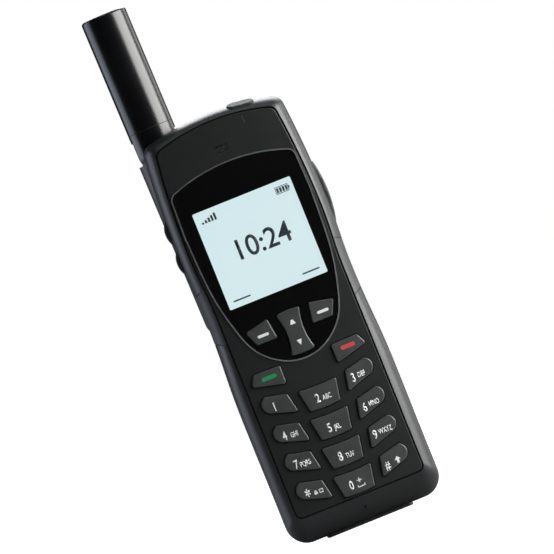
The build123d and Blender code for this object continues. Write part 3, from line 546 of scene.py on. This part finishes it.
# ---------------------------------------------------------------- the battery latch's spring
SPRING_TURNS = 7
SPRING_WIRE_R = 0.14 * MM
SPRING_STEPS = 24  # to a turn
WIRE_SIDES = 8
spring_low, spring_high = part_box("latch_spring")
spring_mid = (spring_low + spring_high) / 2
coil_r = (spring_high.x - spring_low.x) / 2 - SPRING_WIRE_R
coil_tall = spring_high.z - spring_low.z - 2 * SPRING_WIRE_R
wire = bmesh.new()
loops = []
for step in range(SPRING_TURNS * SPRING_STEPS + 1):
    turn = 2 * math.pi * step / SPRING_STEPS
    outward = Vector((math.cos(turn), math.sin(turn), 0))
    rise = spring_low.z + SPRING_WIRE_R + coil_tall * step / (SPRING_TURNS * SPRING_STEPS)
    middle = Vector((spring_mid.x, spring_mid.y, rise)) + coil_r * outward
    around_wire = (math.cos(t) * outward + Vector((0, 0, math.sin(t))) for t in turns(WIRE_SIDES))
    loops.append([wire.verts.new(middle + SPRING_WIRE_R * side) for side in around_wire])
bridged(wire, loops)
for end in (loops[0], loops[-1]):
    wire.faces.new(end)
coil = placed(wire, "latch_coil", steel, "housing")
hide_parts("latch_spring")
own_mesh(coil)


# ---------------------------------------------------------------- the display's picture
pane_low, pane_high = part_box("display_window")
left, right = pane_low.x / MM, pane_high.x / MM
base, top = pane_low.z / MM, pane_high.z / MM
signal = []
for step in range(5):
    x = left + 2.0 + step * 1.1
    signal.append(box(x, x + 0.7, top - 4.2, top - 3.6 + step * 0.45))
charge = [box(right - 5.7 + step, right - 5.0 + step, top - 3.8, top - 2.2) for step in range(4)]
battery_tip = box(right - 1.6, right - 1.2, top - 3.4, top - 2.6)
picture = joined(
    flat_shape(signal + [battery_tip] + charge),
    frame_of(right - 6.1, right - 1.6, top - 4.2, top - 1.8, 0.22),
    lettering("10:24", -9.3, 94.6, 7.0, 0.95, 0.01),
    bar(left + 2.0, left + 8.0, base + 2.2, 0.5),
    bar(right - 8.0, right - 2.0, base + 2.2, 0.5),
)
laid_on(picture, "display_picture", "lcd_panel", "housing", dark, PICTURE_T)


# ---------------------------------------------------------------- studio
AIM = Vector((0, 0, 0.08))  # what the lights face


def light(name, place, width, height, power, colour):
    """A soft panel of light that faces the phone."""
    data = bpy.data.lights.new(name, "AREA")
    data.shape = "RECTANGLE"
    data.size, data.size_y = width, height
    data.energy = power
    data.color = colour
    lamp = bpy.data.objects.new(name, data)
    lamp.location = place
    lamp.rotation_mode = "QUATERNION"
    lamp.rotation_quaternion = (AIM - Vector(place)).to_track_quat("-Z", "Y")
    bpy.context.scene.collection.objects.link(lamp)


def around(azimuth, distance, height):
    """A place round the phone: azimuth 0 is in front of its keys, 90 is to their right."""
    turn = math.radians(azimuth)
    return (distance * math.sin(turn), -distance * math.cos(turn), height)


light("key_right", around(74, 1.0, 0.1), 1.0, 1.2, 46, (1.0, 0.99, 0.975))
light("rim_left", around(-110, 1.0, 0.2), 0.75, 1.2, 6.5, (0.8, 0.87, 1.0))
light("rim_right", around(128, 1.1, 0.05), 0.4, 0.8, 2.5, (1.0, 0.99, 0.97))
light("overhead", (0.1, -0.2, 1.2), 0.8, 0.6, 2.0, (1.0, 1.0, 1.0))
light("back_fill", (0.25, 0.9, 0.75), 0.8, 0.6, 9, (0.95, 0.97, 1.0))


def white_to_camera(tree, strength_socket, shown, lit):
    """Full white where the camera looks past the phone, and dimmer as a light on it."""
    path = tree.nodes.new("ShaderNodeLightPath")
    mix = tree.nodes.new("ShaderNodeMapRange")
    mix.inputs["To Min"].default_value = lit
    mix.inputs["To Max"].default_value = shown
    tree.links.new(path.outputs["Is Camera Ray"], mix.inputs["Value"])
    tree.links.new(mix.outputs["Result"], strength_socket)


world = bpy.data.worlds.new("studio")
world.use_nodes = True
background = world.node_tree.nodes["Background"]
background.inputs["Color"].default_value = (1, 1, 1, 1)
white_to_camera(world.node_tree, background.inputs["Strength"], 1.0, 0.02)
bpy.context.scene.world = world

FLOOR_SIZE = 12
bpy.ops.mesh.primitive_plane_add(size=FLOOR_SIZE, location=(0, 0, 0))
floor = bpy.context.object
floor.name = "studio_floor"
paper = Finish("floor_paper", (0.4, 0.4, 0.4), 0.7)
paper.shader.inputs["Emission Color"].default_value = (1, 1, 1, 1)
white_to_camera(paper.tree, paper.shader.inputs["Emission Strength"], 1.0, 0.0)
floor.data.materials.append(paper.material)

# the camera: level, a long lens a little to the left, and rolled as the phone leans in its picture
VIEW_SIDE = 0.1806  # what the picture takes in at the phone
DISTANCE = 2.2
AZIMUTH = -1.9
ROLL = math.radians(21.93)
LOOK_AT = Vector((0.00147, 0, 0.0851))
SENSOR_MM = 36
camera_data = bpy.data.cameras.new("camera")
camera_data.sensor_width = SENSOR_MM
camera_data.lens = SENSOR_MM * DISTANCE / VIEW_SIDE
camera = bpy.data.objects.new("camera", camera_data)
camera.location = LOOK_AT + Vector(around(AZIMUTH, DISTANCE, 0))
forward = (LOOK_AT - camera.location).normalized()
up_way = Quaternion(forward, ROLL) @ Vector((0, 0, 1))
camera.rotation_mode = "QUATERNION"
camera.rotation_quaternion = Matrix((forward.cross(up_way), up_way, -forward)).transposed().to_quaternion()
bpy.context.scene.collection.objects.link(camera)
bpy.context.scene.camera = camera
bpy.context.scene.view_settings.view_transform = "Standard"
